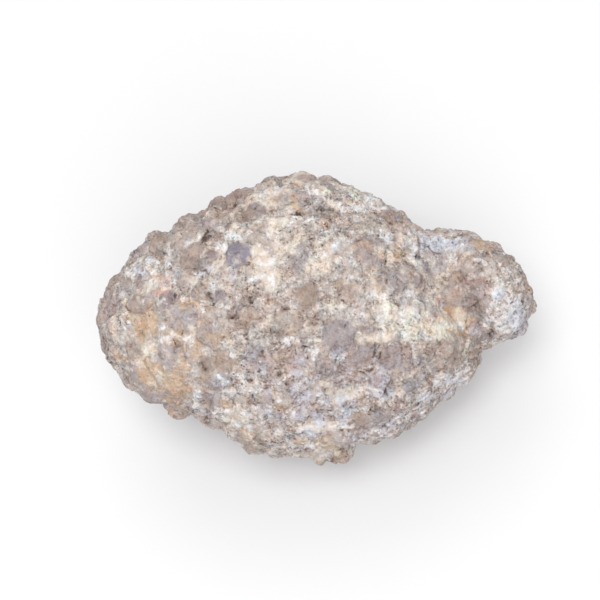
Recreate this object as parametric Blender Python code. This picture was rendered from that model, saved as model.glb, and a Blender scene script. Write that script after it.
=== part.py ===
"""A thunderegg: one solid nodule of knobbly rhyolite, with a smaller lobe grown onto its right end.

The big rounded masses are swept from closed outlines and fused by a voxel remesh. Knobs, lumps,
nodules, grooves and pits are then raised or sunk along the surface, the mesh is thinned out, and
its underside is levelled where the stone rests.
"""

import math

import bmesh
import bpy
import numpy as np
from mathutils import Matrix, Vector, noise

MM = 0.001
NODE = "thunderegg"

# The stone's broadest section lies in a tipped plane. A point near it is (p, q, h), in millimetres:
# p runs to the right, q to the back and up, and h stands square to the plane, out of the upper face.
FORWARD_TIP = math.radians(21.8)
RIGHT_TIP = math.radians(8.9)
SECTION_CENTRE = (-1.0, -1.0, 47.2)

# The main egg: its outline round the section's centre, clockwise from the left end.
EGG_OUTLINE = [
    (-89.5, -1), (-87.5, 6), (-84, 13), (-79, 20), (-73.5, 26.5), (-67, 32), (-58.5, 35), (-55, 39.5),
    (-45, 42), (-42, 46.5), (-33, 51.5), (-24, 54), (-18, 56.5), (-3, 58.5), (6, 57), (13, 53.5),
    (26, 51), (31, 44.5), (42, 38.5), (50, 33), (57, 25), (63, 12), (69, -5), (71, -14), (66, -21.5),
    (61.5, -27), (55, -32.5), (49, -36), (44, -41.5), (37, -46), (29.5, -49.3), (20, -51.3), (14, -55),
    (-4, -55.5), (-14, -56.5), (-25, -55), (-31, -51), (-36.5, -45), (-44, -41.5), (-51, -38),
    (-60.5, -34), (-69, -33.5), (-74, -30), (-80, -23.5), (-85, -14), (-86.5, -8), (-89, -5),
]
EGG_THICKNESS = (46, 47.5)

# The lobe on the right end, round its own centre.
LOBE_CENTRE = (64, 13, 1)
LOBE_OUTLINE = [
    (-15, 25), (-8, 24.5), (-3, 23), (3, 20), (9, 16.5), (14, 14.2), (17, 10), (21, 6.5), (23, 1),
    (25.5, -4), (26, -8), (24.5, -13), (21, -18), (17, -22), (12, -24.5), (7, -26), (-4, -25),
    (-16, -14), (-24, 0), (-24, 14),
]
LOBE_THICKNESS = (29, 29)

# How the masses swell from their outlines: the power of the superellipse across the section, the
# rounding of the outline's fine and broad bends in degrees, how far from the section the fine bends
# are felt, and the room left inside the outline for the lumps.
SECTION_POWER = 2.25
FINE_BLUR, BROAD_BLUR = 1.2, 13
FINE_REACH = math.radians(13)
LUMP_ROOM = 1.0
OUTLINE_STEPS = 720

# Knobs that stand out of the masses: the centre (p, q, h), then the half-sizes along p, q and h.
KNOBS = [
    ((-54.5, -35.5, 2), (5.6, 6, 7)),
    ((-48.5, -36, -3), (4.5, 4.5, 6)),
    ((1.5, -55, -2), (4.2, 4.4, 5)),
    ((10.5, -54.5, 2), (4.8, 4.2, 6)),
    ((-3.5, 54, -3), (5, 5, 7)),
    ((-64, 29, 1), (5, 5.4, 7)),
    ((-50, 35.5, 3), (6, 5.4, 8)),
    ((-36, 42.5, 2), (6.5, 6.5, 9)),
    ((37, 37.5, -4), (3.2, 3.6, 4)),
    ((78, 3, 6), (9.8, 11, 11)),
]

# A low shelf of rock behind the crest of the upper face.
SHELF_CENTRE = (-4, 43, 2)
SHELF_SIZE = (29, 12.5, 17)

# Broad swells that keep the egg from being even, beyond SWELL_START from its section.
SWELL_LENGTH, SWELL_HEIGHT, SWELL_START = 42, 2.4, 22

# Rounded lumps all over, packed like the cells of a foam. LUMP_LEVEL is the share of their height
# that lies under the even surface, and LUMP_CREASE the width of their creases over their spacing.
LUMP_SPACING, LUMP_HEIGHT, LUMP_LEVEL, LUMP_CREASE = 11.5, 2.9, 0.29, 0.32
LUMP_SHIFT = Vector((3.1, 7.7, 1.3))

# Round nodules in the upper face: (p, q), the radius, and how far the top stands out.
NODULES = [
    ((-30, 24.5), 6.0, 0.9), ((-46, 24), 7.0, 0.8), ((10, -10), 8.2, 1.6), ((50, -9), 11.0, 2.2),
    ((-68, 6), 5.0, 0.8), ((-50, 0), 8.0, 1.0), ((8, 19), 7.0, 0.9), ((-22, 41), 6.0, 1.1),
    ((39, 17), 9.0, 1.0), ((-12, -34), 8.0, 1.3), ((30, -33), 7.0, 1.2), ((-36, -24), 8.0, 1.1),
]
CROWN_POWER = 0.7
MOAT_DEPTH, MOAT_WIDTH = 0.45, 0.16

# Pits in the upper face: (p, q), the radius and the depth.
PITS = [
    ((-54, 9), 2.8, 2.4), ((-39.5, 8), 2.0, 1.8), ((-24, 8), 1.8, 1.5), ((-52, -11), 2.4, 2.4),
    ((-41, -18), 3.0, 2.0), ((4, 8), 2.0, 1.6), ((21, -20), 3.0, 2.0), ((30.5, -28), 2.4, 1.8),
    ((-61, 25), 2.6, 2.4), ((-41, 32), 2.4, 2.2), ((61, 6), 2.4, 2.2), ((-40, -32), 2.4, 1.8),
]

# Grooves in the upper face: the points (p, q) they pass through, the half-width and the depth.
GROOVES = [
    ([(-36, 43), (-24, 44.5), (-12, 40), (-2, 42.5), (9, 42), (20, 39), (33, 37)], 2.2, 1.9),
    ([(38, 32), (42, 24), (44, 16), (45, 8)], 2.6, 1.4),
    ([(45, 8), (55, 4.5), (62, -1), (66, -8), (69.5, -14)], 2.6, 2.2),
    ([(62, 8), (65, 0), (68, -7), (71, -14)], 3.0, 3.4),
    ([(61, -20), (50, -29), (38, -37), (24, -44)], 1.8, 1.2),
    ([(-62, -30), (-48, -33), (-37, -42)], 2.4, 1.6),
]

# Where the surface's normal rises through these values, the upper face begins.
UPPER_FACE = (0.05, 0.4)

BALL_SUBDIVISIONS = 6
FUSE_VOXEL = 1.3
FUSE_SMOOTHING = 9
TRIANGLES = 9600

STONE_COLOUR = (0.47, 0.39, 0.345, 1.0)


def section_axes():
    """The directions of p, q and h in the row frame, as the rows of an array."""
    h = Vector((math.tan(RIGHT_TIP), -math.tan(FORWARD_TIP), 1)).normalized()
    p = (Vector((1, 0, 0)) - h * h.x).normalized()
    return np.array([p, h.cross(p), h])


def smoothstep(low, high, value):
    t = np.clip((value - low) / (high - low), 0, 1)
    return t * t * (3 - 2 * t)


def outline_radius(outline, angle, blur):
    """The radius of a closed outline at each angle, rounded off by a Gaussian of blur degrees."""
    turn = np.linspace(-math.pi, math.pi, OUTLINE_STEPS, endpoint=False)
    corners = np.array(outline, float)
    radius = np.interp(
        turn, np.arctan2(corners[:, 1], corners[:, 0]), np.hypot(*corners.T), period=2 * math.pi
    )
    offset = np.arange(OUTLINE_STEPS)
    offset = np.minimum(offset, OUTLINE_STEPS - offset) * 360 / OUTLINE_STEPS
    kernel = np.exp(-0.5 * (offset / blur) ** 2)
    radius = np.fft.ifft(np.fft.fft(radius) * np.fft.fft(kernel / kernel.sum())).real
    return np.interp(angle, turn, radius, period=2 * math.pi)


def mass_points(directions, outline, thickness):
    """The surface of a rounded mass along unit directions: it fills the outline, whose finer bends
    fade away from the section, and it reaches thickness[0] above the section and [1] below."""
    angle = np.arctan2(directions[:, 1], directions[:, 0])
    rise = directions[:, 2]
    fine = outline_radius(outline, angle, FINE_BLUR) - LUMP_ROOM
    broad = outline_radius(outline, angle, BROAD_BLUR) - LUMP_ROOM
    near = np.exp(-((np.arcsin(np.clip(rise, -1, 1)) / FINE_REACH) ** 2))
    across = np.sqrt(1 - rise**2) / (broad + (fine - broad) * near)
    up = np.abs(rise) / np.where(rise > 0, *thickness)
    reach = (across**SECTION_POWER + up**SECTION_POWER) ** (-1 / SECTION_POWER)
    return directions * reach[:, None]


def add_ball(shapes, surface, centre):
    """Adds a closed ball to the bmesh, each of its unit directions moved to where surface puts it."""
    verts = bmesh.ops.create_icosphere(shapes, subdivisions=BALL_SUBDIVISIONS, radius=1)["verts"]
    points = surface(np.array([v.co for v in verts])) + np.array(centre)
    for vert, point in zip(verts, points):
        vert.co = point


def fused_body():
    """The masses and knobs as one closed mesh in section coordinates, in millimetres."""
    shapes = bmesh.new()
    add_ball(shapes, lambda d: mass_points(d, EGG_OUTLINE, EGG_THICKNESS), (0, 0, 0))
    add_ball(shapes, lambda d: mass_points(d, LOBE_OUTLINE, LOBE_THICKNESS), LOBE_CENTRE)
    for centre, half_sizes in [(SHELF_CENTRE, SHELF_SIZE), *KNOBS]:
        add_ball(shapes, lambda d, size=np.array(half_sizes): d * size, centre)
    mesh = bpy.data.meshes.new("masses")
    shapes.to_mesh(mesh)
    shapes.free()
    masses = bpy.data.objects.new("masses", mesh)
    bpy.context.scene.collection.objects.link(masses)
    fuse = masses.modifiers.new("Fuse", "REMESH")
    fuse.mode = "VOXEL"
    fuse.voxel_size = FUSE_VOXEL
    soften = masses.modifiers.new("Soften creases", "SMOOTH")
    soften.iterations = FUSE_SMOOTHING
    body = evaluated_copy(masses)
    bpy.data.objects.remove(masses)
    return body


def evaluated_copy(obj):
    """A new mesh of the object with its modifiers applied."""
    graph = bpy.context.evaluated_depsgraph_get()
    return bpy.data.meshes.new_from_object(obj.evaluated_get(graph))


def points_and_normals(mesh):
    points = np.empty(len(mesh.vertices) * 3)
    normals = np.empty(len(mesh.vertices) * 3)
    mesh.vertices.foreach_get("co", points)
    mesh.vertices.foreach_get("normal", normals)
    return points.reshape(-1, 3), normals.reshape(-1, 3)


def cells(points, spacing):
    """Distances from each point to its nearest and second nearest cell centre, over the spacing."""
    found = [noise.voronoi(Vector(point) / spacing + LUMP_SHIFT)[0] for point in points]
    return np.array(found)[:, :2].T


def lumps(points):
    """Rounded cells with creases between them."""
    first, second = cells(points, LUMP_SPACING)
    crown = np.clip(1 - first, 0, 1)
    return LUMP_HEIGHT * (smoothstep(0, LUMP_CREASE, second - first) * crown - LUMP_LEVEL)


def swells(points):
    """Broad uneven swelling, which leaves the section's own outline as it is."""
    away = 1 - np.exp(-((points[:, 2] / SWELL_START) ** 2))
    rough = np.array([noise.fractal(Vector(point) / SWELL_LENGTH, 0.8, 2.0, 3) for point in points])
    return SWELL_HEIGHT * rough * away


def distance_to_path(points, path):
    """Distance in the section plane from each point to a path of straight stretches."""
    nearest = np.full(len(points), np.inf)
    for start, end in zip(np.array(path[:-1], float), np.array(path[1:], float)):
        along = end - start
        share = np.clip((points - start) @ along / (along @ along), 0, 1)
        nearest = np.minimum(nearest, np.linalg.norm(points - start - share[:, None] * along, axis=1))
    return nearest


def upper_face_relief(points, normals):
    """Nodules, pits and grooves of the upper face."""
    flat = points[:, :2]
    relief = np.zeros(len(points))
    for centre, radius, height in NODULES:
        ratio = np.linalg.norm(flat - centre, axis=1) / radius
        relief += height * np.clip(1 - ratio**2, 0, 1) ** CROWN_POWER
        relief -= MOAT_DEPTH * np.exp(-(((ratio - 1) / MOAT_WIDTH) ** 2))
    for centre, radius, depth in PITS:
        ratio = np.linalg.norm(flat - centre, axis=1) / radius
        relief -= depth * np.exp(-(ratio**2))
    for path, half_width, depth in GROOVES:
        relief -= depth * np.exp(-((distance_to_path(flat, path) / half_width) ** 2))
    return relief * smoothstep(*UPPER_FACE, normals[:, 2])


def add_relief(mesh):
    """Raises and sinks the surface along its normals."""
    points, normals = points_and_normals(mesh)
    relief = swells(points) + lumps(points) + upper_face_relief(points, normals)
    mesh.vertices.foreach_set("co", (points + normals * relief[:, None]).ravel())
    mesh.update()


def to_row_frame(mesh):
    """Tips the section into the row frame, in metres."""
    turn = Matrix(section_axes().T.tolist()).to_4x4()
    mesh.transform(Matrix.Scale(MM, 4) @ Matrix.Translation(SECTION_CENTRE) @ turn)


def thin_out(mesh):
    """A copy of the mesh with about TRIANGLES triangles."""
    mesh.calc_loop_triangles()
    fine = bpy.data.objects.new("fine", mesh)
    bpy.context.scene.collection.objects.link(fine)
    thin = fine.modifiers.new("Thin out", "DECIMATE")
    thin.ratio = TRIANGLES / len(mesh.loop_triangles)
    thinned = evaluated_copy(fine)
    bpy.data.objects.remove(fine)
    return thinned


def level_foot(mesh):
    """Cuts the underside off flat at z = 0, where the stone rests."""
    shape = bmesh.new()
    shape.from_mesh(mesh)
    everything = shape.verts[:] + shape.edges[:] + shape.faces[:]
    cut = bmesh.ops.bisect_plane(
        shape, geom=everything, plane_co=(0, 0, 0), plane_no=(0, 0, 1), clear_inner=True
    )
    rim = [item for item in cut["geom_cut"] if isinstance(item, bmesh.types.BMEdge)]
    foot = bmesh.ops.edgeloop_fill(shape, edges=rim)["faces"]
    bmesh.ops.triangulate(shape, faces=foot)
    bmesh.ops.recalc_face_normals(shape, faces=shape.faces)
    shape.to_mesh(mesh)
    shape.free()


def stone_material():
    material = bpy.data.materials.new("stone")
    material.use_nodes = True
    shader = material.node_tree.nodes["Principled BSDF"]
    shader.inputs["Base Color"].default_value = STONE_COLOUR
    shader.inputs["Roughness"].default_value = 0.9
    shader.inputs["Metallic"].default_value = 0.0
    return material


def build():
    for old in list(bpy.data.objects):
        bpy.data.objects.remove(old)
    body = fused_body()
    add_relief(body)
    to_row_frame(body)
    stone = thin_out(body)
    level_foot(stone)
    stone.name = NODE
    stone.shade_smooth()
    stone.materials.append(stone_material())
    bpy.context.scene.collection.objects.link(bpy.data.objects.new(NODE, stone))


build()
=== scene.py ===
"""The looks of the thunderegg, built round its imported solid.

The stone's skin is remeshed finely from the solid, and its small relief is worked into the mesh:
knobs, grains, pits, cracks, veins and ledges. Where stains, nodules and chalky crust lie is kept
in attributes of the mesh, which one procedural material turns into colour.
"""

import math

import bmesh
import bpy
import numpy as np
from mathutils import Matrix, Vector, noise


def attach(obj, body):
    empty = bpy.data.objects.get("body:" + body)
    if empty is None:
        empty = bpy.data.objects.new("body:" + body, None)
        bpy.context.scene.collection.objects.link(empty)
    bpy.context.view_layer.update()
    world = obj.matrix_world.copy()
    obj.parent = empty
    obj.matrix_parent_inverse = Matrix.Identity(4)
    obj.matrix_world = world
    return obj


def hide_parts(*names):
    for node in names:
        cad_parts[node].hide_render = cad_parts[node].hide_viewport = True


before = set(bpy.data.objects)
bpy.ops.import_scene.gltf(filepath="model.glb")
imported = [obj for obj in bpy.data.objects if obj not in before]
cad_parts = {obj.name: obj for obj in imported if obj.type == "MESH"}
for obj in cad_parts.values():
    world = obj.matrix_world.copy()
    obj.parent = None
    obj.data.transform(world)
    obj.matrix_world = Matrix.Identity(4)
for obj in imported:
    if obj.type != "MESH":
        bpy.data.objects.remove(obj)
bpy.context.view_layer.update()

MM = 0.001
NODE = "thunderegg"

# The stone's broadest section lies in a tipped plane. A point near it is (p, q, h), in millimetres:
# p runs to the right, q to the back and up, and h stands square to the plane, out of the upper face.
FORWARD_TIP = math.radians(21.8)
RIGHT_TIP = math.radians(8.9)
SECTION_CENTRE = np.array((-1.0, -1.0, 47.2))

# The camera looks straight down on the section from VIEW_DISTANCE, at a point (p, q) beside its centre.
VIEW_DISTANCE = 739
VIEW_CENTRE = (-5.3, 7.33)
FOCAL_LENGTH, SENSOR_WIDTH = 108.84, 36

# The skin's mesh: the remesh that the small relief is worked into, and how many triangles are kept.
SKIN_VOXEL = 0.55
SKIN_SMOOTHING = 14
SKIN_TRIANGLES = 196_000

# Small relief all over, in sizes from knobs to grains: the cells' spacing, the height of their
# domes, the width of their creases over the spacing, the slope of the facets they break into, how
# much their own shades differ, and their shift.
CELLS = [
    (7.2, 1.0, 0.14, 0.08, 0.10, Vector((5.2, 1.7, 8.4))),
    (3.9, 0.7, 0.14, 0.12, 0.16, Vector((8.8, 3.1, 0.6))),
    (1.9, 0.35, 0.20, 0.14, 0.12, Vector((2.8, 9.1, 4.6))),
]

# The domes of the cells: how far each reaches from its middle over the spacing, the share of its
# height that lies under the skin, and the lowest one's height over the usual.
DOME_REACH, DOME_LEVEL, LOWEST_DOME = 0.85, 0.6, 0.4

# How much of this relief is taken away where it is flattest, over what length calm places come and
# go, and how far calm places and caked ones flatten it.
FLATTENING = 0.75
CALM_LENGTH, CALM_EASE, CAKED_EASE = 26, 0.4, 0.5

# The finest grit, and the height off the floor over which all small relief comes in.
GRIT_LENGTH, GRIT_HEIGHT = 1.7, 0.12
FLOOR_EASE = 2.5

# The upper face, which carries the placed features, begins and is whole at these parts of the
# skin's normal along h.
UPPER_FACE = (-0.3, 0.0)

# The creases between the solid's own lumps, here and there opened into crevices: the lumps'
# spacing and shift, and the crevices' half-width over the spacing, their depth, the length over
# which they open and close, and the unevenness at which they are shut and open.
LUMP_SPACING, LUMP_SHIFT = 11.5, Vector((3.1, 7.7, 1.3))
CREVICE_WIDTH, CREVICE_DEPTH, CREVICE_LENGTH = 0.05, 1.0, 13
CREVICE_SHUT_OPEN = (0.1, 0.6)

# Pits of chance all over: the spacing and shift of their places, the share of these that has one,
# the radius and depth, and the smallest one's radius over the usual.
PIT_SPACING, PIT_SHIFT = 6.5, Vector((7.3, 3.9, 1.1))
PIT_SHARE, PIT_RADIUS, PIT_DEPTH, SMALLEST_PIT = 0.35, 0.9, 1.2, 0.5

# Nodules in the upper face: (p, q), the radius, how far they stand out, their tone from brown
# through purple grey to blue grey, and how strongly it shows.
NODULES = [
    ((-62, 31), 5.2, 1.9, 0.25, 0.7),
    ((-53, 39), 3.8, 1.8, 0.30, 0.9),
    ((-49.5, 41.5), 2.4, 1.4, 0.30, 0.8),
    ((-40.5, 46), 2.8, 1.5, 0.30, 0.8),
    ((-33, 49), 4.0, 1.2, 0.20, 0.9),
    ((-27, 51), 3.8, 1.1, 0.35, 0.8),
    ((-24.5, 43), 5.0, 0.6, 0.40, 1.0),
    ((-46, 24), 6.2, 0.8, 0.25, 0.9),
    ((-29.5, 25), 5.4, 0.9, 0.92, 1.0),
    ((-39, 26), 2.6, 0.5, 0.70, 0.9),
    ((-44, 11), 4.4, 0.5, 0.15, 0.6),
    ((-36, 10), 2.6, 0.6, 0.75, 0.9),
    ((-56, 8), 3.4, 0.6, 0.60, 1.0),
    ((-69, 6), 4.4, 0.6, 0.30, 0.9),
    ((-75, 14), 3.0, 0.6, 0.40, 0.7),
    ((-51, 0), 6.0, 0.6, 0.70, 0.65),
    ((-64, 10), 2.6, 0.4, 0.45, 0.7),
    ((-7, 22), 3.6, 0.5, 0.70, 0.55),
    ((-3, 28), 3.4, 0.4, 0.70, 0.35),
    ((-41, -17), 3.2, 0.4, 0.20, 1.0),
    ((-34, -16), 4.4, 0.5, 0.10, 0.8),
    ((-26, 0), 5.0, 0.4, 0.05, 0.5),
    ((-9, -2), 5.5, 0.4, 0.05, 0.5),
    ((-2, 9), 4.8, 0.4, 0.15, 1.0),
    ((10, -6), 6.8, 1.2, 0.60, 0.85),
    ((23, 27), 7.0, 0.8, 0.45, 0.7),
    ((33, 15), 4.5, 0.4, 0.60, 0.6),
    ((42, 15), 3.0, 0.4, 0.70, 0.8),
    ((39, 3), 4.6, 0.5, 0.90, 0.6),
    ((59, 9), 9.0, 0.5, 0.25, 0.7),
    ((52, -12), 8.5, 1.2, 0.20, 0.5),
    ((63, 19), 5.0, 0.3, 0.25, 0.35),
    ((75, 24), 4.0, 0.9, 0.30, 0.7),
    ((19, -13), 5.6, 0.4, 0.60, 0.7),
    ((31, -16), 5.0, 0.5, 0.65, 0.8),
    ((38, -27), 3.0, 0.4, 0.60, 0.8),
    ((25, -24), 3.0, 0.4, 0.10, 0.7),
    ((17, -41), 4.6, 0.6, 0.25, 0.8),
    ((7, -47), 4.6, 0.5, 0.05, 0.35),
    ((2, -59), 3.2, 1.3, 0.00, 0.4),
    ((11, -57), 4.0, 1.3, 0.00, 0.4),
    ((-24, -53), 4.0, 0.9, 0.10, 0.6),
    ((-20, -32), 3.6, 0.4, 0.15, 0.6),
    ((-40, -32), 4.0, 0.6, 0.45, 0.7),
    ((-56, -37), 5.2, 1.0, 0.20, 0.2),
    ((-71, -12), 5.0, 0.6, 0.20, 0.6),
    ((64, 30), 3.5, 0.6, 0.30, 0.7),
    ((35, 42), 2.6, 1.2, 0.00, 0.2),
    ((47, 37), 2.8, 1.2, 0.00, 0.2),
]

# How wide a nodule's edge is, how far outside it the moat's and the rim's middles lie, the power
# that rounds its dome, and the length over which the stone's own tone changes between nodules.
NODULE_EDGE, MOAT_AWAY, RIM_AWAY = 0.6, 0.3, 1.1
NODULE_CROWN = 0.6
TONE_LENGTH = 20

# The moats' depth, the least share of it, and the length over which they open and close.
MOAT_DEPTH, SHALLOWEST_MOAT, MOAT_LENGTH = 1.4, 0.15, 6

# The share of lumps that are nodules by chance, how strongly these show, and the strength below
# which a nodule hardly shows. They begin and are whole this far inside a lump's edge, in
# millimetres, and this far from its middle, over the spacing.
CHANCE_NODULES, CHANCE_NODULE_STRENGTH, HARDLY_SHOWN = 0.42, 0.5, 0.05
CHANCE_NODULE_EDGE = (0.3, 1.0)
CHANCE_NODULE_REACH = (0.62, 0.42)

# A place (p, q) is that of the points within this distance of the nearest, in millimetres.
POINT_SPACING = 0.7

# Cavities in the upper face: the middle (p, q), the half-length as a vector, half-width and depth.
CAVITIES = [
    ((5, 43), (5.5, -1), 0.9, 1.5),
    ((-60, 26), (2.4, -1.2), 1.0, 1.0),
    ((-54, 9), (1.2, 2.6), 0.9, 1.4),
    ((-23, 44), (3.4, 2), 0.8, 1.2),
    ((-42, 33), (1.0, 1.8), 1.3, 1.6),
    ((-1, -10.5), (5, 0.7), 0.6, 0.8),
    ((-9, 41), (3.6, 0.3), 0.8, 1.4),
    ((42, 21), (-1.2, 4), 0.6, 1.2),
    ((20, 41), (2.4, -1), 0.8, 1.0),
    ((20, -20), (3, 0.9), 0.8, 1.5),
    ((29, -28), (1.6, 3), 0.7, 1.4),
    ((-2, -47), (-1.4, 1.8), 0.9, 1.2),
    ((-53, -11), (-0.5, 1.6), 1.0, 1.6),
    ((30, -15), (-1.4, 2.4), 1.0, 0.5),
    ((-4, -41), (2.2, 2.2), 0.8, 1.0),
    ((-42, -33), (2.2, 0.3), 0.9, 1.3),
    ((19, -11), (-1.8, 2.4), 1.0, 0.5),
    ((29, 20), (3, -1), 0.8, 0.9),
    ((-27, -36), (3, -1.6), 0.9, 0.8),
    ((-40, 8), (-0.8, 1.9), 0.8, 1.5),
    ((15, -38), (-1.4, 2.6), 0.8, 0.9),
    ((8, -31), (-0.4, 2.2), 0.9, 1.1),
    ((-42, -18), (-1, 1.3), 1.0, 1.2),
    ((55, -19), (0.3, 1.8), 0.9, 0.9),
    ((-24, 8), (0.6, 1.5), 0.8, 1.4),
    ((34, 1), (-0.5, 1.6), 0.8, 0.9),
    ((63, 6), (0.6, 2.4), 1.0, 1.6),
    ((23, 6), (2.6, 0.3), 0.7, 0.7),
    ((-46, 4), (-0.8, 2.2), 0.7, 1.2),
    ((10, 36), (2.4, 0), 0.7, 0.8),
    ((18, 31), (2, 0.7), 0.9, 1.2),
    ((-32, 20), (2.8, -0.3), 0.7, 0.6),
    ((-52, 34), (0.2, 2.4), 0.8, 1.0),
    ((26, -44), (2.6, 0.9), 0.7, 1.0),
    ((-14, -21), (1.6, -0.3), 0.8, 1.3),
    ((70, -8), (0.2, 1.8), 0.9, 1.3),
    ((62, -1), (-0.8, 3), 1.1, 1.3),
    ((-19, 51), (3.6, 1.6), 0.6, 0.9),
    ((21, 19), (1.8, -0.2), 0.7, 0.7),
    ((38, -29), (1.8, -0.8), 0.8, 1.1),
    ((-79, 15), (1.2, 1.6), 0.7, 0.9),
    ((-67, 10), (3, -0.9), 0.6, 0.8),
    ((-48, 20), (1.2, 0), 0.9, 0.8),
    ((35, 38), (1.4, -0.6), 0.8, 1.2),
    ((-31, 46), (0.8, 2.4), 0.9, 1.6),
    ((40, 35), (0.7, -0.2), 0.9, 1.5),
    ((49, 27), (-1, 1), 0.8, 0.8),
    ((5, 3), (2, 0.4), 0.7, 0.8),
    ((4, 8), (0.3, 1), 0.8, 1.2),
    ((-17, -4), (-0.2, 1), 0.8, 1.3),
    ((-49, -15), (1, 0.3), 0.9, 1.3),
    ((49, -31), (1.6, 0.8), 0.7, 0.9),
    ((-11, -16), (0.8, 0.4), 0.8, 0.9),
    ((75, 2), (0.5, 1.5), 0.8, 1.3),
    ((79, 7), (0.4, 1.6), 0.7, 1.1),
    ((72, -3), (1.2, 0.4), 0.7, 1.2),
    ((80, 1), (0.3, 1.2), 0.7, 1.2),
    ((76, 10), (1.0, -0.6), 0.7, 1.1),
]

# Pits, clefts and cavities are uneven in depth: over what length, the middle and the spread of the
# share, and the least and the most. Between the two hollow depths the colour darkens, partly dirt and
# partly painted shade.
SUNK_LENGTH, SUNK_MIDDLE, SUNK_SPREAD = 3.5, 0.9, 0.9
SUNK_SPAN = (0.2, 1.6)
HOLLOW_DEPTHS = (0.4, 1.5)

# Raised veins of cream: the points (p, q), the half-width and the height.
VEINS = [
    ([(34, 33), (40, 27), (41, 22), (43, 16)], 0.7, 0.7),
    ([(-24, 49), (-12, 50.5), (2, 50)], 0.8, 0.6),
    ([(-13, 13), (-7, 13.5)], 0.55, 0.4),
    ([(4, 4), (9, 4.5), (13, 5.5)], 0.55, 0.4),
    ([(62, -3), (61.5, -11)], 0.6, 0.4),
]

# Grooves: the points (p, q), the half-width and the depth. The first two part the end lobe from the
# stone, and the others notch the outline on the upper left and at the top.
GROOVES = [
    ([(61, 12), (62.5, 4), (62, -5), (65, -13)], 2.2, 1.2),
    ([(43, 16), (47, 10), (51, 5), (56, 0), (60, -4), (61, -10)], 0.7, 0.8),
    ([(-48, 46), (-45, 37)], 2.2, 2.4),
    ([(-60, 40), (-57, 33)], 1.4, 1.6),
    ([(-79, 20), (-74, 27)], 2.6, 1.4),
    ([(-31, 56), (-30, 49)], 1.2, 1.6),
    ([(-13, 60), (-13, 54)], 1.4, 1.5),
    ([(11, 58), (11, 51)], 1.6, 1.2),
]

# The layered ledge on the front right: the line (p, q) that its layers follow, how far they reach
# from it and over what share of that they are whole, the layers' thickness and depth, the share of
# a layer that isn't worn, and how bare of crust the worn edges are.
LEDGE_PATH = [(29, -45), (40, -37), (49, -30), (56, -25), (62, -20)]
LEDGE_REACH, LEDGE_WHOLE = 5.0, 0.6
LEDGE_LAYER, LEDGE_DEPTH, LAYER_FLAT = 1.9, 0.5, 0.5
EDGE_BARENESS = 1.3

# White crust on the upper face: the middle (p, q), the half-length as a vector and the half-width.
CRUSTS = [
    ((1, -43), (5.5, 0.5), 1.9),
    ((-52, 11), (-1.6, 4), 1.2),
    ((39, 26), (-2, 7), 1.4),
    ((77, 18), (-3, 4), 1.4),
    ((76, 4), (0.6, 4.5), 2.6),
    ((-58, 24), (0.5, 3.5), 1.3),
    ((-17, 50), (5, 2.4), 1.2),
    ((-45, 31), (5, 1.4), 1.4),
    ((59, -23), (4, 3.6), 1.6),
    ((-69, 20), (5, 4), 1.4),
    ((49, 30), (8, -1.2), 2.2),
    ((-30, -25), (6.4, -2.6), 1.3),
    ((-39, 17), (0.5, 3), 1.7),
    ((81, -1), (2, 4), 1.6),
    ((22, -7), (4, 1.6), 1.6),
    ((-46, -31), (0.3, 2.6), 1.5),
    ((-5, -51), (4.4, -1.2), 1.5),
    ((14, 43), (2.8, 0.3), 2.0),
    ((24, 47), (4, 0.4), 1.8),
    ((1, 50), (4, -1.6), 1.4),
    ((35, -6), (-2, 2.6), 1.9),
    ((11, -30), (2.4, -0.9), 1.7),
    ((48, -5), (1.4, 1.6), 1.2),
    ((19, -27), (1.8, 0.7), 1.9),
    ((-45, 17), (1.4, 0), 1.8),
    ((-3, 39), (4, 0.2), 1.3),
    ((13, 51), (5, -1.6), 1.1),
    ((-12, -44), (2.4, 0), 1.6),
    ((-49, -8), (1.8, 0.3), 1.5),
    ((-59, 7), (-0.8, 1.2), 1.8),
    ((0, -13), (0, 1.6), 1.6),
    ((26, 9), (2, -1), 1.5),
    ((-42, 4), (0, 2.6), 1.2),
    ((11, -14.5), (1.2, 0.6), 1.5),
    ((25, -30), (2, 1.8), 1.4),
    ((26, -46.5), (2, 0.8), 1.0),
    ((-6, -8.3), (6, 0.8), 1.2),
    ((39, 9), (2.4, -1.8), 1.4),
    ((-29, -15), (1.6, -1), 1.4),
    ((45, -30), (3, 1.2), 1.6),
    ((-31, 32), (2.4, 0), 1.6),
    ((3, -55), (3, 1), 0.9),
    ((-27, -41), (-1.2, 2.2), 1.0),
    ((-57, -7), (1.4, 0.1), 2.0),
    ((31, -41), (0.6, 2.8), 1.1),
    ((-17, 15), (1.8, -1.8), 1.1),
    ((29, 32), (2, 1.6), 1.7),
    ((72, -3), (1.6, 0.4), 1.1),
    ((61, -8), (0, 2.8), 1.0),
    ((-24, -48), (-1.4, 1.4), 1.7),
    ((65, 23), (2.4, -1.2), 1.0),
    ((58, -3), (-0.8, 1.2), 1.1),
    ((-36, 28), (1.8, -0.2), 1.3),
    ((68, 1), (0.6, 1), 1.3),
    ((70, -1), (1.5, 0.8), 1.6),
    ((73, -9), (4, 1.4), 1.1),
    ((13, -42), (2, 0.3), 1.4),
    ((-22, -15), (1.4, -0.4), 1.1),
    ((-28, -42), (3, -0.6), 1.4),
]

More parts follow.
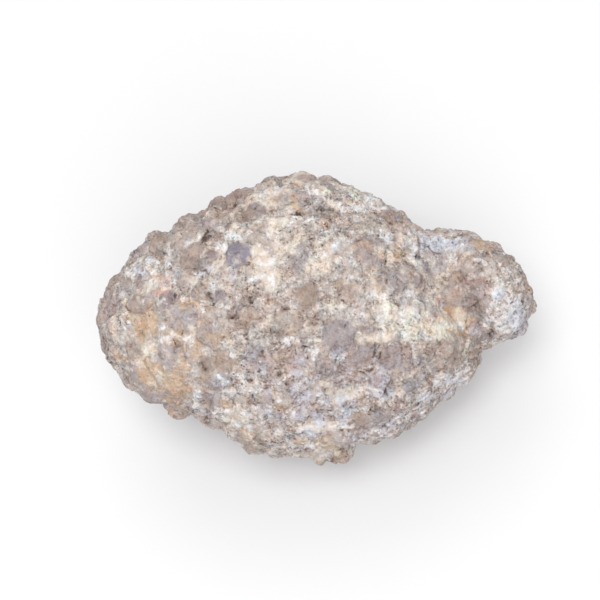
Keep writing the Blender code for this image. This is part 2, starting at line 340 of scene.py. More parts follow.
# Stains on the upper face, each a list of (p, q), radius along p, radius along q and strength.
CREAM = [
    ((-18, 22), 6, 10, 0.9),
    ((-14, 30), 8, 7, 0.4),
    ((9, 28), 8, 6, 0.9),
    ((27, 2), 9, 5, 0.7),
    ((24, -7), 7, 3, 0.9),
    ((43, -2), 8, 4, 0.55),
    ((49, -5), 3.5, 3.5, 0.7),
    ((38, 9), 5, 6, 0.6),
    ((-16, 37), 9, 4, 0.6),
    ((-17, 48), 8, 5, 0.8),
    ((-3, 56), 8, 4, 1.0),
    ((-74, -5), 4, 5, 0.8),
    ((8, 50), 12, 4, 0.4),
    ((-66, -18), 9, 8, 0.35),
    ((-63, -26), 6, 4, 0.8),
    ((-77, -2), 4, 6, 0.6),
    ((-29, -40), 7, 7, 0.7),
    ((6, -48), 6, 4, 0.9),
    ((2, -55), 9, 4, 0.9),
    ((56, 0), 6, 5, 0.6),
    ((-37, 20), 8, 2.5, 0.7),
    ((-46, 32), 9, 2.5, 0.6),
    ((2, -42), 6, 3, 0.9),
    ((20, 14), 8, 5, 0.5),
    ((48, 12), 5, 6, 0.5),
    ((11, -30), 5, 2.8, 1.0),
    ((40, 28), 3, 6, 0.8),
    ((24, 45), 9, 4, 0.5),
    ((54, 1), 4, 4, 0.4),
    ((-49, -7), 3, 3, 0.9),
    ((-62, 12), 8, 5, 0.6),
    ((0, 26), 44, 17, 0.25),
]
OCHRE = [
    ((-62, -3), 5, 9, 0.85),
    ((-60, -15), 5, 8, 0.8),
    ((-62, -24), 12, 5, 1.0),
    ((-28, -45), 7, 5, 0.7),
    ((56, 0), 6, 5, 0.6),
    ((-71, -18), 7, 8, 0.5),
    ((-20, 0), 6, 5, 0.4),
    ((-15, 30), 8, 6, 0.4),
    ((10, 13), 4, 3, 0.5),
    ((25, 13), 3, 3, 0.9),
    ((19, 41), 6, 2, 0.4),
    ((55, -1), 7, 6, 1.45),
    ((68, 29), 5, 3, 1.0),
    ((34, 31), 3, 3, 0.8),
    ((-6, -48.5), 4, 2.5, 0.9),
    ((7, -47), 6, 4, 0.6),
    ((-21, -42), 3, 2, 1.0),
    ((-35, -10), 7, 5, 0.4),
    ((44, 37), 6, 2.5, 0.8),
    ((-61, -10), 14, 17, 0.75),
    ((-56, -14), 26, 25, 0.7),
    ((-45, -25), 12, 6, 0.5),
    ((2, -55), 12, 5, 0.5),
    ((0, 30), 44, 16, 0.4),
]
CHALK = [
    ((-67, 20), 7, 4, 0.8),
    ((-76, 1), 4, 4, 0.6),
    ((-24, 17), 4, 3, 0.5),
    ((-18, 23), 5, 8, 0.6),
    ((-36, -35), 3, 3, 0.8),
    ((-27, -40), 5, 3, 0.5),
    ((24, -28), 4.5, 3.5, 0.8),
    ((12, -40), 3, 2.5, 0.9),
    ((38, -32), 3, 3, 0.7),
    ((27, 48), 6, 3, 0.6),
    ((48, 30), 10, 3.5, 0.9),
    ((57, 29), 5, 3.5, 1.0),
    ((49, 23), 8, 3, 0.6),
    ((76, 3), 6, 9, 2.2),
    ((-28, -25), 8, 4, 0.9),
    ((55, -25), 9, 3, 1.0),
    ((46, -31), 6, 2, 0.6),
    ((30, -1), 9, 5, 0.6),
    ((40, -4), 6, 4, 0.7),
    ((24, 46), 9, 4, 0.8),
    ((7, 29), 7, 5, 0.5),
    ((0, -36), 34, 14, 0.3),
    ((77, 3), 9, 12, 0.6),
]
BLUE = [
    ((48, 30), 11, 4, 0.9),
    ((58, 28), 6, 4, 1.0),
    ((58, -23), 8, 2.5, 1.0),
    ((46, -31), 7, 3, 0.7),
    ((80, -3), 5, 7, 0.35),
    ((75, 4), 6, 9, 0.5),
    ((24, -28), 5, 4, 0.9),
    ((12, -40), 4, 3, 0.7),
    ((-43, 20), 4, 3, 0.6),
    ((-32, 17), 4, 2.5, 0.6),
    ((-68, 18), 6, 3, 0.4),
    ((10, -9), 6, 6, 0.5),
    ((31, -16), 6, 5, 0.5),
    ((0, -36), 10, 5, 0.2),
    ((-52, 0), 5, 5, 0.5),
    ((27, 48), 6, 3, 0.3),
    ((39, 3), 4, 4, 0.7),
    ((8, -33), 42, 19, 0.42),
    ((74, 0), 12, 18, 0.35),
]
MAUVE = [
    ((-56, -37), 6, 5, 0.4),
    ((-25, 42), 6, 4, 0.8),
    ((-34, 47), 10, 5, 1.2),
    ((-50, 36), 8, 4, 0.8),
    ((64, 9), 9, 9, 0.9),
    ((70, -2), 8, 8, 0.5),
    ((71, -9), 6, 3, 0.9),
    ((23, 28), 7, 6, 0.35),
    ((31, -17), 9, 6, 0.95),
    ((18, -20), 13, 6, 0.85),
    ((-50, -30), 7, 5, 0.5),
    ((-20, -33), 7, 4, 0.8),
    ((-9, -27), 6, 4, 0.5),
    ((0, -33), 8, 6, 0.8),
    ((84, 8), 3, 14, 0.6),
    ((-33, 46), 8, 4, 1.6),
    ((59, -18), 7, 5, 1.1),
    ((-6, 51), 7, 4, 0.8),
    ((38, -28), 4, 3, 0.7),
    ((-8, -41), 6, 3, 0.5),
    ((-40, -32), 5, 5, 0.5),
    ((17, -41), 5, 4, 0.6),
    ((-45, -25), 8, 4, 0.4),
    ((-39, 6), 8, 6, 0.5),
    ((-82, 1), 5, 9, 0.9),
    ((14, -28), 44, 18, 0.5),
]
BROWN = [
    ((-62, 28), 5, 4, 0.8),
    ((-48, 25), 7, 5, 0.6),
    ((-33, 44), 10, 7, 2.0),
    ((-6, 2), 13, 9, 0.55),
    ((29, -16), 8, 5, 1.0),
    ((4, 42), 9, 2.5, 0.8),
    ((20, 40), 8, 4, 0.9),
    ((-2, 9), 7, 5, 0.6),
    ((-69, 6), 5, 4, 0.6),
    ((-41, -17), 4, 4, 0.9),
    ((-35, -16), 5, 4, 0.5),
    ((17, -42), 5, 3, 0.5),
    ((61, -16), 8, 7, 1.6),
    ((70, -9), 5, 5, 0.9),
    ((-70, -13), 7, 7, 0.4),
    ((-49, -15), 4, 3, 0.6),
    # This patch lies along the groove that parts the end lobe: partly dirt, partly painted shade in the
    # gully.
    ((62, -3), 5, 9, 0.8),
    ((59, 11), 8, 7, 0.45),
    ((30, 39), 4, 3, 0.6),
    ((56, -11), 8, 7, 0.2),
    ((-26, 0), 6, 5, 0.4),
    ((-9, -2), 6, 5, 0.5),
    ((30, 31), 6, 7, 0.4),
    ((20, -20), 6, 2, 0.6),
    ((25, -25), 3, 3, 0.6),
    ((-10, -17), 3, 2, 0.4),
]
SALMON = [
    ((-60, 13), 5, 4, 1.35),
    ((-57, 6), 2.5, 2, 0.9),
    ((50, 6), 3, 3, 0.7),
    ((-12, -36), 6, 3, 0.4),
    ((-1, -48), 3, 2, 0.7),
    ((-56, -38), 5, 4, 0.9),
]
LIME = [
    ((36, -1), 12, 8, 1.2),
    ((29, 8), 8, 5, 0.9),
    ((50, -4), 7, 5, 0.8),
    ((27, 2), 6, 4, 0.8),
    ((20, 50), 10, 3, 0.8),
    ((47, 31), 10, 3, 0.4),
    ((-65, 22), 9, 5, 0.6),
    ((56, -24), 9, 3, 0.6),
    ((8, 51), 8, 3, 0.5),
    ((-31, -38), 6, 6, 0.5),
]
STAINS = {
    "mauve": MAUVE, "brown": BROWN, "blue": BLUE, "ochre": OCHRE, "cream": CREAM, "salmon": SALMON,
    "chalk": CHALK, "lime": LIME,
}

# The shares of its radius at which a stain, or a crust, has gone and is whole, and the length and
# strength of the stains of chance off the upper face.
STAIN_EDGE = (1.45, 0.55)
CRUST_EDGE = (1.4, 0.5)
CHANCE_STAIN_LENGTH, CHANCE_STAIN_STRENGTH = 15, 0.6

# How outlines are bent: the lengths and reaches of the bends, and the seeds for p, q and h.
STAIN_WARP = ((16, 3.0), (5, 1.6))
FINE_WARP = ((4.5, 1.4), (1.8, 0.7))
LEDGE_WARP = ((9, 0.8),)
NODULE_WARP = (6, 0.9)
PIT_WARP = (1.8, 0.5)
WARP_SEEDS = (11.3, 4.9, 8.1)

# Noise: its octaves, how far a seed shifts it along each axis, and a factor that gives each cell
# chance values of its own.
ROUGH_OCTAVES = 2
SEED_SHIFT = (1, 1.7, 0.6)
CELL_SEED = 9.7


def section_axes():
    """The directions of p, q and h in the row frame, as the rows of an array."""
    h = Vector((math.tan(RIGHT_TIP), -math.tan(FORWARD_TIP), 1)).normalized()
    p = (Vector((1, 0, 0)) - h * h.x).normalized()
    return np.array([p, h.cross(p), h])


AXES = section_axes()


def smoothstep(low, high, value):
    t = np.clip((value - low) / (high - low), 0, 1)
    return t * t * (3 - 2 * t)


def swell(away, half_width):
    """A rounded swelling across a line or round a point: 1 in its middle, near 0 at twice the
    half-width."""
    return np.exp(-((away / half_width) ** 2))


def rough(points, length, seed=0.0):
    """Uneven values about 0, mostly within 1, which change over a length in millimetres."""
    offset = Vector([seed * share for share in SEED_SHIFT])
    places = (Vector(point) / length + offset for point in points)
    return np.array([noise.fractal(place, 1.0, 2.0, ROUGH_OCTAVES) for place in places])


def cells(points, spacing, shift):
    """For each point, its distance to the nearest and to the second nearest cell centre over the
    spacing, its offset from the nearest, and three chance values from 0 to 1 that the cell shares."""
    rows = []
    for point in points:
        place = Vector(point) / spacing + shift
        distances, centres = noise.voronoi(place)
        centre = centres[0]
        rows.append((*distances[:2], *(place - centre), *noise.cell_vector(centre * CELL_SEED)))
    rows = np.array(rows)
    return rows[:, 0], rows[:, 1], rows[:, 2:5], rows[:, 5:8]


def distance_to_stroke(points, middle, half):
    """Distance in the section plane from each point to a straight stroke."""
    half = np.array(half, float)
    from_middle = points - middle
    along = np.clip(from_middle @ half / (half @ half), -1, 1)
    return np.linalg.norm(from_middle - along[:, None] * half, axis=1)


def distance_to_path(points, path):
    """Distance in the section plane from each point to a path of straight stretches."""
    nearest = np.full(len(points), np.inf)
    for start, end in zip(np.array(path[:-1], float), np.array(path[1:], float)):
        along = end - start
        share = np.clip((points - start) @ along / (along @ along), 0, 1)
        nearest = np.minimum(nearest, np.linalg.norm(points - start - share[:, None] * along, axis=1))
    return nearest


def evaluated_copy(obj):
    """A new mesh of the object with its modifiers applied."""
    graph = bpy.context.evaluated_depsgraph_get()
    mesh = bpy.data.meshes.new_from_object(obj.evaluated_get(graph))
    obj.modifiers.clear()
    return mesh


def fine_skin():
    """The solid's surface as an even, fine mesh object, its facets rounded off."""
    skin = bpy.data.objects.new("rock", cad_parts[NODE].data.copy())
    bpy.context.scene.collection.objects.link(skin)
    even = skin.modifiers.new("Even mesh", "REMESH")
    even.mode = "VOXEL"
    even.voxel_size = SKIN_VOXEL * MM
    soften = skin.modifiers.new("Round off facets", "SMOOTH")
    soften.iterations = SKIN_SMOOTHING
    skin.data = evaluated_copy(skin)
    return skin


def thin_out(skin):
    """Takes triangles away where the skin is even, and leaves them where it is rough."""
    skin.data.calc_loop_triangles()
    thin = skin.modifiers.new("Thin out", "DECIMATE")
    thin.ratio = min(1, SKIN_TRIANGLES / len(skin.data.loop_triangles))
    skin.data = evaluated_copy(skin)
    mend(skin.data)


def mend(mesh):
    """Takes out the few triangles that the thinning has folded onto each other, and fills the gaps."""
    shell = bmesh.new()
    shell.from_mesh(mesh)
    bmesh.ops.triangulate(shell, faces=shell.faces)
    folded = set()
    for edge in shell.edges:
        sides = edge.link_faces
        if len(sides) != 2 or set(sides[0].verts) == set(sides[1].verts):
            folded.update(sides)
    in_order = [face for face in shell.faces if face in folded]
    bmesh.ops.delete(shell, geom=in_order, context="FACES")
    open_edges = [edge for edge in shell.edges if edge.is_boundary]
    patched = bmesh.ops.holes_fill(shell, edges=open_edges)["faces"]
    bmesh.ops.triangulate(shell, faces=patched)
    shell.to_mesh(mesh)
    shell.free()


def read_mesh(mesh):
    """The mesh's points and normals in section coordinates, in millimetres."""
    points = np.empty(len(mesh.vertices) * 3)
    normals = np.empty(len(mesh.vertices) * 3)
    mesh.vertices.foreach_get("co", points)
    mesh.vertices.foreach_get("normal", normals)
    points = (points.reshape(-1, 3) / MM - SECTION_CENTRE) @ AXES.T
    return points, normals.reshape(-1, 3) @ AXES.T


def write_points(mesh, points):
    in_row_frame = (points @ AXES + SECTION_CENTRE) * MM
    mesh.vertices.foreach_set("co", in_row_frame.ravel())
    mesh.update()


def keep(mesh, name, values):
    """Stores a value for each vertex, for the material to read."""
    attribute = mesh.attributes.new(name, "FLOAT", "POINT")
    attribute.data.foreach_set("value", values.astype(np.float32))


def broken_surface(points, ease):
    """The relief of knobs, facets and grains, flattened where ease is high, and their own shades."""
    relief = np.zeros(len(points))
    mottle = np.zeros(len(points))
    for spacing, height, crease, slope, shade, shift in CELLS:
        nearest, second, offset, chance = cells(points, spacing, shift)
        apart = smoothstep(0, crease, second - nearest)
        dome = np.sqrt(np.clip(1 - (nearest / DOME_REACH) ** 2, 0, 1)) * apart
        facet = spacing * slope * (offset * (2 * chance - 1)).sum(1)
        own_height = height * (LOWEST_DOME + chance[:, 1])
        relief += (own_height * (dome - DOME_LEVEL) + facet) * (1 - FLATTENING * ease)
        mottle += shade * (2 * chance[:, 0] - 1) * apart
    return relief, mottle


def chance_pits(points):
    """How deep the pits of chance are."""
    nearest, _, _, chance = cells(points, PIT_SPACING, PIT_SHIFT)
    radius = PIT_RADIUS * (SMALLEST_PIT + chance[:, 1])
    length, reach = PIT_WARP
    away = nearest * PIT_SPACING + reach * rough(points, length, 8.8)
    return np.where(chance[:, 0] < PIT_SHARE, PIT_DEPTH * swell(away, radius), 0)


def crevices(points):
    """Narrow clefts along some of the creases between the lumps."""
    nearest, second, _, _ = cells(points, LUMP_SPACING, LUMP_SHIFT)
    open_here = smoothstep(*CREVICE_SHUT_OPEN, rough(points, CREVICE_LENGTH, 3.3))
    return CREVICE_DEPTH * open_here * swell(second - nearest, CREVICE_WIDTH)


def warped(points, warps):
    """The points (p, q), shifted unevenly by warps of (length, reach), for ragged edges."""
    flat = points[:, :2].copy()
    for length, reach in warps:
        for axis in (0, 1):
            flat[:, axis] += reach * rough(points, length, WARP_SEEDS[axis])
    return flat


def layers(points):
    """The ledge's layers along its path: each one's worn edge from 0 to 1, and where the ledge is."""
    away = distance_to_path(warped(points, LEDGE_WARP), LEDGE_PATH)
    phase = (away / LEDGE_LAYER) % 1
    return smoothstep(LAYER_FLAT, 1, phase), smoothstep(LEDGE_REACH, LEDGE_REACH * LEDGE_WHOLE, away)


def stain(flat, patches):
    """How strongly a list of patches stains each point, from 0 to 1."""
    strength = np.zeros(len(flat))
    for centre, reach_p, reach_q, most in patches:
        ratio = np.hypot((flat[:, 0] - centre[0]) / reach_p, (flat[:, 1] - centre[1]) / reach_q)
        strength = np.maximum(strength, most * smoothstep(*STAIN_EDGE, ratio))
    return strength


def on_upper_face(points, place):
    """The point of the upper face over a place (p, q)."""
    away = np.linalg.norm(points[:, :2] - place, axis=1)
    close = points[away < away.min() + POINT_SPACING]
    return close[close[:, 2].argmax()]


def chance_nodules(points):
    """Which of the lumps show as nodules by chance, from 0 to 1, and the lumps' tones."""
    nearest, second, _, chance = cells(points, LUMP_SPACING, LUMP_SHIFT)
    from_edge = (second - nearest) * LUMP_SPACING / 2
    shown = smoothstep(*CHANCE_NODULE_EDGE, from_edge) * smoothstep(*CHANCE_NODULE_REACH, nearest)
    shown *= chance[:, 0] < CHANCE_NODULES
    return shown, chance[:, 1]


def nodules(points):
    """The nodules' domes, the moats round them, where they show, their rims, and their tone from
    brown to blue grey."""
    length, reach = NODULE_WARP
    bends = [reach * rough(points, length, seed) for seed in WARP_SEEDS]
    bent = points + np.stack(bends, axis=1)
    relief = np.zeros(len(points))
    moats = np.zeros(len(points))
    shown = np.zeros(len(points))
    rims = np.zeros(len(points))
    tone = 0.5 + 0.5 * rough(points, TONE_LENGTH, 7.7)
    for place, radius, height, shade, strength in NODULES:
        from_middle = np.linalg.norm(bent - on_upper_face(points, place), axis=1)
        away = from_middle - radius
        inside = smoothstep(NODULE_EDGE, -NODULE_EDGE, away)
        shown = np.maximum(shown * (1 - inside), inside * strength)
        tone = tone * (1 - inside) + shade * inside
        dome = np.clip(1 - (from_middle / radius) ** 2, 0, 1) ** NODULE_CROWN
        relief = np.maximum(relief, height * dome)
        moats = np.maximum(moats * (1 - inside), swell(away - MOAT_AWAY, NODULE_EDGE))
        rims = np.maximum(rims * (1 - inside), swell(away - RIM_AWAY, NODULE_EDGE))

    by_chance, chance_tone = chance_nodules(points)
    tone = np.where((shown < HARDLY_SHOWN) & (by_chance > HARDLY_SHOWN), chance_tone, tone)
    shown = np.maximum(shown, CHANCE_NODULE_STRENGTH * by_chance)
    open_here = SHALLOWEST_MOAT + smoothstep(0.0, 0.8, rough(points, MOAT_LENGTH, 9.1))
    return relief, MOAT_DEPTH * open_here * moats, shown, rims * (1 - moats), tone


def sunk_places(points, broken, upper):
    """How deep the pits, clefts and cavities are."""
    sunk = chance_pits(points) + crevices(points)
    for middle, half, half_width, depth in CAVITIES:
        sunk += depth * swell(distance_to_stroke(broken, middle, half), half_width) * upper
    return sunk * np.clip(SUNK_MIDDLE + SUNK_SPREAD * rough(points, SUNK_LENGTH, 5.5), *SUNK_SPAN)


def with_lines(relief, points, broken, upper):
    """The relief with the grooves, the veins and the ledge's layers worked in."""
    for path, half_width, depth in GROOVES:
        relief -= depth * swell(distance_to_path(broken, path), half_width) * upper
    for path, half_width, height in VEINS:
        relief += height * swell(distance_to_path(broken, path), half_width) * upper
    edge, ledge = layers(points)
    relief -= LEDGE_DEPTH * edge * ledge * upper
    return relief


def roughen(rock):
    """Works the small relief into the skin, and keeps what the material reads of it."""
    points, normals = read_mesh(rock.data)
    upper = smoothstep(*UPPER_FACE, normals[:, 2])
    broken = warped(points, FINE_WARP)

    domes, moats, nodule, rim, tone = nodules(points)
    sunk = np.maximum(sunk_places(points, broken, upper), moats)
    calm = np.clip(0.5 + 0.9 * rough(points, CALM_LENGTH, 2.1), 0, 1)
    caked = stain(broken, CREAM + OCHRE) * upper
    ease = np.maximum.reduce([nodule, CALM_EASE * calm, CAKED_EASE * caked])
    knobs, mottle = broken_surface(points, ease)

    relief = with_lines(domes, points, broken, upper)
    relief += knobs
    relief += GRIT_HEIGHT * rough(points, GRIT_LENGTH)
    relief -= sunk
    height_off_floor = (points @ AXES + SECTION_CENTRE)[:, 2]
    relief *= smoothstep(0.0, FLOOR_EASE, height_off_floor)
    write_points(rock.data, points + normals * relief[:, None])
    # How sunk each point is, which the material darkens with dirt and painted shade.
    keep(rock.data, "hollow", smoothstep(*HOLLOW_DEPTHS, sunk))
    keep(rock.data, "mottle", mottle)
    keep(rock.data, "nodule", nodule)
    keep(rock.data, "rim", rim)
    keep(rock.data, "tone", np.clip(tone, 0, 1))


def vein_stain(broken, upper):
    """Where the veins run, from 0 to 1."""
    strength = np.zeros(len(broken))
    for path, half_width, _ in VEINS:
        strength = np.maximum(strength, swell(distance_to_path(broken, path), half_width) * upper)
    return strength


def crust_stain(broken, upper):
    """Where the white crust lies, from 0 to 1."""
    strength = np.zeros(len(broken))
    for middle, half, half_width in CRUSTS:
        ratio = distance_to_stroke(broken, middle, half) / half_width
        strength = np.maximum(strength, smoothstep(*CRUST_EDGE, ratio) * upper)
    return strength


def colour_places(rock):
    """Keeps where the stains and the crust lie: at their places on the upper face, and by chance below."""
    points, normals = read_mesh(rock.data)
    upper = smoothstep(*UPPER_FACE, normals[:, 2])
    ragged = warped(points, STAIN_WARP)
    broken = warped(points, FINE_WARP)
    edge, ledge = layers(points)
    ledge *= upper
    for index, (name, patches) in enumerate(STAINS.items()):
        uneven = rough(points, CHANCE_STAIN_LENGTH, 20 + 6 * index)
        chance = smoothstep(0.3, 0.7, 0.5 + 0.55 * uneven)
        strength = stain(ragged, patches) * upper + chance * (1 - upper) * CHANCE_STAIN_STRENGTH
        if name == "cream":
            strength = np.maximum(strength, vein_stain(broken, upper))
        if name == "chalk":
            strength = np.maximum(strength, crust_stain(broken, upper))
            strength = strength * (1 - ledge) + (1 - EDGE_BARENESS * edge) * ledge
        keep(rock.data, name, strength)


# The colours, linear.
GROUND = (0.445, 0.387, 0.356)
PALE = (0.655, 0.600, 0.580)
BROWN_ROCK = (0.335, 0.256, 0.210)
PURPLE_GREY = (0.275, 0.230, 0.240)
BLUE_GREY = (0.220, 0.205, 0.255)
BLUE_STAIN = (0.500, 0.510, 0.590)
CREAM_STAIN = (0.665, 0.587, 0.510)
LIME_STAIN = (0.705, 0.690, 0.590)
OCHRE_STAIN = (0.515, 0.350, 0.208)
SALMON_STAIN = (0.680, 0.420, 0.340)
MAUVE_STAIN = (0.372, 0.282, 0.278)
WHITE_CHALK = (0.690, 0.665, 0.665)
# Dirt and painted shade, darkening the hollows.
HOLLOW_DIRT_AND_SHADE = (0.080, 0.053, 0.040)
DARK_GRAIN = (0.150, 0.092, 0.088)

# Each stain: its name and colour, the share of it that shows at most, the length and seed of the
# noise that breaks it up, and how rare it is away from its own places.
STAIN_LOOKS = [
    ("mauve", MAUVE_STAIN, 0.60, 9.0, 3, 1.3),
    ("brown", BROWN_ROCK, 0.50, 9.0, 4, 1.4),
    ("ochre", OCHRE_STAIN, 0.60, 10.0, 6, 1.8),
    ("cream", CREAM_STAIN, 0.75, 8.0, 7, 1.2),
    ("salmon", SALMON_STAIN, 0.50, 5.0, 8, 2.4),
    ("lime", LIME_STAIN, 0.75, 6.0, 10, 2.0),
    ("chalk", WHITE_CHALK, 0.85, 3.2, 9, 1.6),
    ("blue", BLUE_STAIN, 0.60, 9.0, 5, 1.5),
]
STAIN_PULL = 2.8

# The lengths of sand, grains, lumps and dark grains in the material, in millimetres, and how far
# the last two are stirred about, by noise of which scale.
SAND, GRAIN, LUMP, DARK_GRAIN_SPACING = 0.75, 1.2, 2.4, 2.3
STIR_REACH, STIR_SCALE = 2.4, 0.45

# A light grain's shade is no higher than these lines, each a slope and a start.
LIGHT_LIMITS = [(0.75, 0.998), (0.32, 1.055)]

# Red, green and blue of a grain's tint: the start, and the shares of its shade and of its warmth.
TINT = [(0.09, 0.91, 0.015), (-0.005, 1.0, -0.007), (-0.044, 1.03, -0.021)]

BUMP_STRENGTH, BUMP_DISTANCE = 0.8, 0.5
SPECULAR_LEVEL = 0.35

# The spread of one octave of Blender's noise texture about its middle.
OCTAVE_SPREAD = 0.125


class Nodes:
    """A short way of writing a material's nodes."""

    def __init__(self, material):
        material.use_nodes = True
        self.tree = material.node_tree
        self.shader = self.tree.nodes["Principled BSDF"]

    def add(self, kind, inputs=(), **settings):
        """A new node with its settings, and a value or a link in each of the inputs named."""
        node = self.tree.nodes.new(kind)
        for name, value in settings.items():
            setattr(node, name, value)
        for key, value in dict(inputs).items():
            self.plug(node.inputs[key], value)
        return node

    def plug(self, socket, value):
        if isinstance(value, bpy.types.NodeSocket):
            self.tree.links.new(value, socket)
        else:
            socket.default_value = value

    def value(self, name):
        """The value that the mesh keeps under a name."""
        return self.add("ShaderNodeAttribute", attribute_name=name).outputs["Fac"]

    def math(self, operation, *values):
        return self.add("ShaderNodeMath", enumerate(values), operation=operation).outputs[0]

    def scaled(self, vector, factor, added=(0, 0, 0)):
        """A vector times a factor, plus another vector."""
        inputs = {0: vector, 1: (factor,) * 3, 2: added}
        return self.add("ShaderNodeVectorMath", inputs, operation="MULTIPLY_ADD").outputs[0]

    def total(self, start, *terms):
        """The start plus each term's share times its value."""
        for share, value in terms:
            start = self.math("MULTIPLY_ADD", value, share, start)
        return start

    def span(self, value, low, high, to_low=0.0, to_high=1.0):
        """A value taken smoothly from one span to another."""
        inputs = {0: value, 1: low, 2: high, 3: to_low, 4: to_high}
        node = self.add("ShaderNodeMapRange", inputs, interpolation_type="SMOOTHSTEP")
        return node.outputs[0]

    def blend(self, share, below, above, kind="MIX"):
        """The colour below, covered by the share given of the colour above."""
        node = self.add("ShaderNodeMix", data_type="RGBA", blend_type=kind)
        self.plug(node.inputs[0], share)
        self.plug(node.inputs[6], below if not isinstance(below, tuple) else (*below, 1))
        self.plug(node.inputs[7], above if not isinstance(above, tuple) else (*above, 1))
        return node.outputs[2]


class RockNodes(Nodes):
    """The stone's material: what its layers read, and a method for each layer of colour."""

    def __init__(self, material):
        super().__init__(material)
        metres = self.add("ShaderNodeTexCoord").outputs["Object"]
        self.place = self.scaled(metres, 1 / MM)
        stir_noise = {"Vector": self.place, "Scale": STIR_SCALE, "Detail": 2.0}
        stir = self.add("ShaderNodeTexNoise", stir_noise).outputs["Color"]
        self.stirred = self.scaled(stir, STIR_REACH, self.place)
        self.fine = self.uneven(2.6, octaves=4, roughness=0.95, seed=2)
        _, self.sand_shade, _ = self.grains(self.place, SAND)
        self.grain_edge, self.grain_shade, _ = self.grains(self.place, GRAIN)
        self.lump_edge, self.lump_shade, self.lump_hue = self.grains(self.stirred, LUMP)
        self.nodule = self.value("nodule")
        self.caked = self.math("MAXIMUM", self.value("cream"), self.value("ochre"))

    def uneven(self, length, octaves, roughness, seed):
        """Noise over a length in millimetres, about 0 with a spread of 1."""
        inputs = {
            "Vector": self.place, "W": seed, "Scale": 1 / length, "Detail": octaves - 1.0,
            "Roughness": roughness,
        }
        value = self.add("ShaderNodeTexNoise", inputs, noise_dimensions="4D").outputs["Fac"]
        shares = [roughness**octave for octave in range(octaves)]
        spread = OCTAVE_SPREAD * math.hypot(*shares) / sum(shares)
        return self.math("MULTIPLY_ADD", value, 1 / spread, -0.5 / spread)

    def grains(self, place, length):
        """Grains: the distance to each one's middle, and two chance values from 0 to 1 for each."""
        node = self.add("ShaderNodeTexVoronoi", {"Vector": place, "Scale": 1 / length})
        chance = self.add("ShaderNodeSeparateColor", {0: node.outputs["Color"]}).outputs
        return node.outputs["Distance"], chance[0], chance[1]

    def less_where_caked(self, value, left):
        """A value, of which this share is left where cream and ochre cake the grains."""
        return self.math("MULTIPLY", value, self.span(self.caked, 0.3, 0.9, 1.0, left))

    def ground(self):
        """The ground: mauve brown with pale and darker patches."""
        pale = self.uneven(3.6, octaves=4, roughness=0.9, seed=11)
        colour = self.blend(self.span(pale, -0.2, 1.5, to_high=0.75), GROUND, PALE)
        mauve = self.uneven(6.0, octaves=3, roughness=0.7, seed=12)
        return self.blend(self.span(mauve, 0.2, 1.6, to_high=0.4), colour, MAUVE_STAIN)

    def with_nodules(self, colour):
        """Nodules, from brown through purple grey to blue grey."""
        tone = self.total(self.value("tone"), (0.06, self.fine))
        own = self.blend(self.span(tone, 0.1, 0.6), BROWN_ROCK, PURPLE_GREY)
        own = self.blend(self.span(tone, 0.65, 1.05), own, BLUE_GREY)
        worn = self.uneven(3.5, octaves=4, roughness=0.9, seed=15)
        share = self.math("MULTIPLY", self.nodule, self.span(worn, -1.4, 1.8, 1.0, 0.75))
        return self.blend(share, colour, own)

    def with_stains(self, colour):
        """Stains, broken up by noise, and thinner on nodules."""
        for name, stain_colour, most, length, seed, rarity in STAIN_LOOKS:
            patches = self.uneven(length, octaves=3, roughness=0.5, seed=seed)
            level = self.total(-rarity, (STAIN_PULL, self.value(name)), (0.9, patches))
            level = self.total(level, (0.22, self.fine), (-1.0, self.nodule))
            colour = self.blend(self.span(level, -0.5, 1.2, to_high=most), colour, stain_colour)
        return colour

    def with_rims(self, colour):
        """Cream in the creases round nodules."""
        patches = self.uneven(7.0, octaves=3, roughness=0.7, seed=13)
        rim = self.total(self.value("rim"), (0.35, patches))
        return self.blend(self.span(rim, 0.55, 1.2, to_high=0.6), colour, CREAM_STAIN)

    def with_shades(self, colour):
        """Each knob's and each grain's own shade and warmth, more even on nodules and where caked."""
        broad = self.uneven(24, octaves=3, roughness=1.0, seed=1)
        centred = self.math("MULTIPLY_ADD", self.sand_shade, 2.0, -1.0)
        specks = self.math("MULTIPLY", centred, self.math("MULTIPLY", centred, centred))
        grain = self.math("SUBTRACT", self.grain_shade, 0.5)
        lump = self.math("SUBTRACT", self.lump_shade, 0.5)
        crease = self.math("SUBTRACT", self.grain_edge, 0.4)
        varied = self.total(0.0, (0.95, self.value("mottle")), (0.04, broad), (0.10, self.fine))
        varied = self.total(varied, (0.34, specks), (0.20, grain), (0.12, lump), (-0.08, crease))
        varied = self.math("MULTIPLY", varied, self.span(self.nodule, 0.0, 1.0, 1.35, 0.8))
        varied = self.less_where_caked(varied, 0.5)
        shade = self.math("ADD", varied, 1.0)
        for slope, start in LIGHT_LIMITS:
            shade = self.math("MINIMUM", shade, self.math("MULTIPLY_ADD", varied, slope, start))
        patches = self.uneven(4.5, octaves=2, roughness=0.7, seed=16)
        warmth = self.total(-0.5, (1.0, self.lump_hue), (1.5, patches))
        channels = [
            self.total(start, (by_shade, shade), (by_warmth, warmth))
            for start, by_shade, by_warmth in TINT
        ]
        tint = self.add("ShaderNodeCombineColor", enumerate(channels)).outputs[0]
        return self.blend(1.0, colour, tint, "MULTIPLY")

    def with_dark_grains(self, colour):
        """Dark grains, in loose clusters."""
        from_middle, chance, _ = self.grains(self.stirred, DARK_GRAIN_SPACING)
        clusters = self.uneven(12.0, octaves=2, roughness=0.6, seed=14)
        size = self.total(-0.68, (0.9, chance), (0.16, clusters))
        inside = self.span(self.math("SUBTRACT", size, from_middle), -0.10, 0.18, to_high=0.42)
        return self.blend(self.less_where_caked(inside, 0.3), colour, DARK_GRAIN)

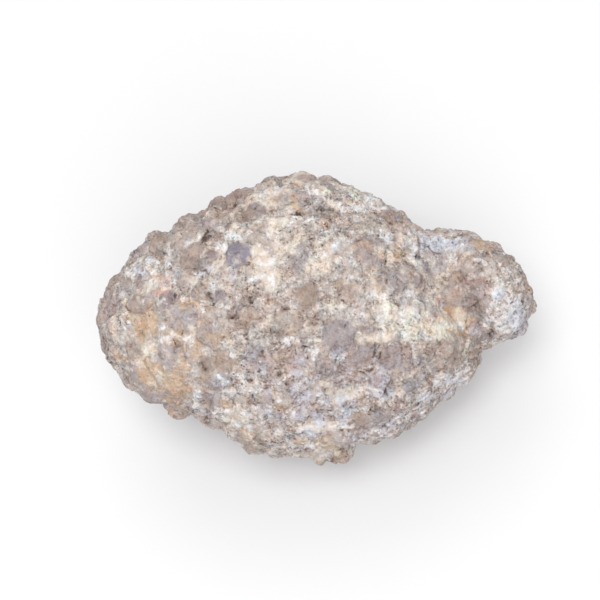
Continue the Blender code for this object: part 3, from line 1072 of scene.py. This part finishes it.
    def with_dirt_and_painted_shade(self, colour):
        """Dirt and painted shade in the hollows: the colour darkened where the skin is sunk."""
        hollow = self.total(self.value("hollow"), (-0.16, self.fine))
        return self.blend(self.span(hollow, 0.25, 1.05, to_high=0.9), colour, HOLLOW_DIRT_AND_SHADE)

    def roughness(self):
        """Matt all over, a little less so on nodules."""
        return self.total(self.span(self.fine, -1.5, 1.5, 0.80, 0.97), (-0.12, self.nodule))

    def bumps(self):
        """The normal that the finest grains and creases give."""
        height = self.total(0.0, (0.24, self.fine), (-0.3, self.grain_edge), (-0.2, self.lump_edge))
        height = self.less_where_caked(height, 0.6)
        bump = {"Height": height, "Strength": BUMP_STRENGTH, "Distance": BUMP_DISTANCE * MM}
        return self.add("ShaderNodeBump", bump).outputs[0]


def rock_material():
    """The stone's material, its layers one on the other."""
    material = bpy.data.materials.new("thunderegg_rock")
    rock_nodes = RockNodes(material)
    colour = rock_nodes.ground()
    colour = rock_nodes.with_nodules(colour)
    colour = rock_nodes.with_stains(colour)
    colour = rock_nodes.with_rims(colour)
    colour = rock_nodes.with_shades(colour)
    colour = rock_nodes.with_dark_grains(colour)
    colour = rock_nodes.with_dirt_and_painted_shade(colour)
    sockets = rock_nodes.shader.inputs
    rock_nodes.plug(sockets["Base Color"], colour)
    rock_nodes.plug(sockets["Roughness"], rock_nodes.roughness())
    rock_nodes.plug(sockets["Normal"], rock_nodes.bumps())
    sockets["Specular IOR Level"].default_value = SPECULAR_LEVEL
    return material


# The studio, in metres: the floor's half-width and colour, the sky's strength, and each soft light's
# name, place, width and power. The lights face LIT_POINT.
FLOOR_HALF = 3.0
FLOOR_COLOUR = (0.74, 0.74, 0.75, 1)
FLOOR_ROUGHNESS = 0.95
SKY_STRENGTH = 0.69
SOFTBOXES = [
    ("key", (-0.05, -0.2, 1.4), 0.6, 8),
    ("fill", (0.3, -0.9, 1.0), 1.0, 6.5),
    ("back", (-0.2, 0.9, 1.0), 1.0, 4),
]
LIT_POINT = Vector((0, 0, 0.04))


def plain_floor():
    mesh = bpy.data.meshes.new("floor")
    half = FLOOR_HALF
    corners = [(-half, -half, 0), (half, -half, 0), (half, half, 0), (-half, half, 0)]
    mesh.from_pydata(corners, [], [(0, 1, 2, 3)])
    floor = bpy.data.objects.new("floor", mesh)
    bpy.context.scene.collection.objects.link(floor)
    material = bpy.data.materials.new("pale_floor")
    material.use_nodes = True
    shader = material.node_tree.nodes["Principled BSDF"]
    shader.inputs["Base Color"].default_value = FLOOR_COLOUR
    shader.inputs["Roughness"].default_value = FLOOR_ROUGHNESS
    mesh.materials.append(material)


def softbox(name, place, width, power):
    """A square area light that faces the stone."""
    lamp = bpy.data.lights.new(name, "AREA")
    lamp.size = width
    lamp.energy = power
    light = bpy.data.objects.new(name, lamp)
    light.location = place
    light.rotation_mode = "QUATERNION"
    light.rotation_quaternion = (LIT_POINT - Vector(place)).to_track_quat("-Z", "Y")
    bpy.context.scene.collection.objects.link(light)


def studio():
    world = bpy.data.worlds.new("studio")
    world.use_nodes = True
    background = world.node_tree.nodes["Background"]
    background.inputs["Color"].default_value = (1, 1, 1, 1)
    background.inputs["Strength"].default_value = SKY_STRENGTH
    bpy.context.scene.world = world
    bpy.context.scene.view_settings.view_transform = "Standard"
    for name, place, width, power in SOFTBOXES:
        softbox(name, place, width, power)


def camera():
    p, q, h = AXES
    aim = SECTION_CENTRE + VIEW_CENTRE[0] * p + VIEW_CENTRE[1] * q
    data = bpy.data.cameras.new("camera")
    data.lens = FOCAL_LENGTH
    data.sensor_width = SENSOR_WIDTH
    data.clip_end = 10
    viewer = bpy.data.objects.new("camera", data)
    place = Matrix(AXES.T.tolist()).to_4x4()
    place.translation = Vector((aim + VIEW_DISTANCE * h) * MM)
    viewer.matrix_world = place
    bpy.context.scene.collection.objects.link(viewer)
    bpy.context.scene.camera = viewer


camera()
studio()
plain_floor()

rock = fine_skin()
roughen(rock)
thin_out(rock)
colour_places(rock)
rock.data.shade_smooth()
rock.data.materials.clear()
rock.data.materials.append(rock_material())
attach(rock, "root")
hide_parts(NODE)
